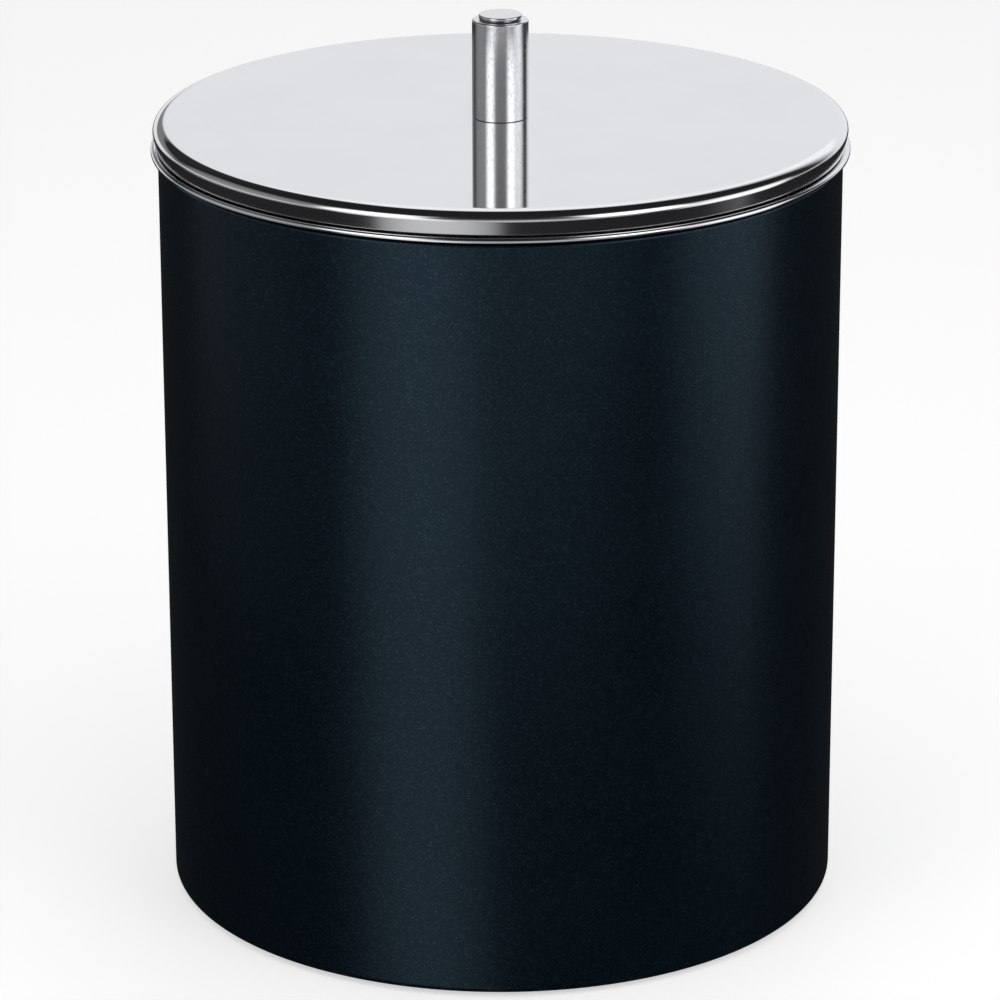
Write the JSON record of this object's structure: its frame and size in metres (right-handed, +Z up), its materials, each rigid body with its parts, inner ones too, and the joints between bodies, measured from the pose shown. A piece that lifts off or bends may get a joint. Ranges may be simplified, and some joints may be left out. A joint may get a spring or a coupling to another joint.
{
  "type": "ice bucket",
  "caption": "Insulated double-walled ice bucket with a coated straight body, a polished rim, a lift-off polished lid with a turned knob and a perforated strainer inside.",
  "frame": {"origin": "middle of the base, on the surface that the foot ring stands on", "axes": "+Z up along the bucket's own axis, through the knob; the object is round, so X and Y are free, and the strainer's finger holes lie on X"},
  "size_m": [0.149, 0.149, 0.1945],
  "materials": {
    "black_coating": "satin blue-black baked coating with a fine metallic speckle",
    "polished_steel": "mirror-polished stainless steel",
    "satin_steel": "satin stainless steel with round brush marks",
    "zinc_steel": "zinc-plated steel",
    "rigid_foam": "closed-cell rigid foam",
    "black_rubber": "matt moulded rubber",
    "silicone": "translucent grey moulded silicone",
    "black_nylon": "matt black nylon"
  },
  "bodies": {
    "bucket": {"outer_shell": "black_coating", "inner_liner": "satin_steel", "rim_ring": "polished_steel", "rim_gasket": "black_rubber", "insulation_sleeve": "rigid_foam", "insulation_disc": "rigid_foam", "base_plate": "satin_steel", "foot_ring": "black_rubber", "tie_stud": "zinc_steel", "tie_washer": "zinc_steel", "tie_nut": "zinc_steel"},
    "lid": {"lid_top": "polished_steel", "lid_pan": "satin_steel", "lid_insulation": "rigid_foam", "lid_seal": "silicone", "knob": "polished_steel", "knob_cap": "polished_steel", "knob_washer": "black_nylon", "knob_screw": "zinc_steel", "screw_washer": "zinc_steel", "lock_washer": "zinc_steel"},
    "strainer": {"strainer_plate": "satin_steel", "strainer_foot_1": "satin_steel", "strainer_foot_2": "satin_steel", "strainer_foot_3": "satin_steel", "strainer_foot_4": "satin_steel"}
  },
  "joints": [
    {"name": "lid_lift", "type": "slide", "parent": "bucket", "child": "lid", "axis": [0, 0, 1], "range_m": [0, 0.09]},
    {"name": "strainer_lift", "type": "slide", "parent": "bucket", "child": "strainer", "axis": [0, 0, 1], "range_m": [0, 0.125]}
  ]
}
